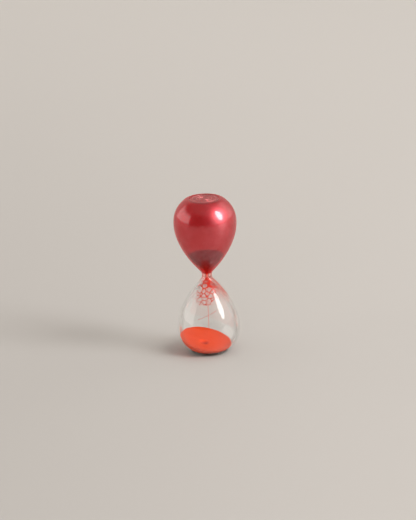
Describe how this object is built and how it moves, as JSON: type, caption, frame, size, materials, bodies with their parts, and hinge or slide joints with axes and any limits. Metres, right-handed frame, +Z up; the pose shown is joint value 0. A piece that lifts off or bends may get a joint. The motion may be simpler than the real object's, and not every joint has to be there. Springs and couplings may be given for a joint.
{
  "type": "hourglass",
  "caption": "Free-standing blown-glass sand timer: red lustre upper bulb, clear lower bulb, narrow throat and orange-red sand, caught while running.",
  "frame": {"origin": "centre of the flat end that the timer stands on, at table level", "axes": "+Z up along the common axis of the two bulbs; -Y towards the viewer, +X to the viewer's right"},
  "size_m": [0.0552, 0.0552, 0.14],
  "materials": {
    "red_lustre_glass": "gloss",
    "clear_glass": "polished",
    "orange_red_sand": "matte"
  },
  "bodies": {
    "glass": {"upper_bulb": "red_lustre_glass", "closing_disc": "red_lustre_glass", "calibrated_throat": "clear_glass", "lower_bulb": "clear_glass", "falling_stream": "orange_red_sand"},
    "lower_heap": {"lower_sand": "orange_red_sand"},
    "upper_charge": {"upper_sand": "orange_red_sand"}
  },
  "joints": [
    {"name": "lower_sand_level", "type": "slide", "parent": "glass", "child": "lower_heap", "axis": [0, 0, 1], "range_m": [0, 0.0013], "deforming": ["lower_sand"]},
    {"name": "upper_sand_level", "type": "slide", "parent": "glass", "child": "upper_charge", "axis": [0, 0, -1], "range_m": [0, 0.0091], "deforming": ["upper_sand"]}
  ],
  "couplings": [
    {"joint": "upper_sand_level", "follows": "lower_sand_level", "ratio": 7}
  ]
}
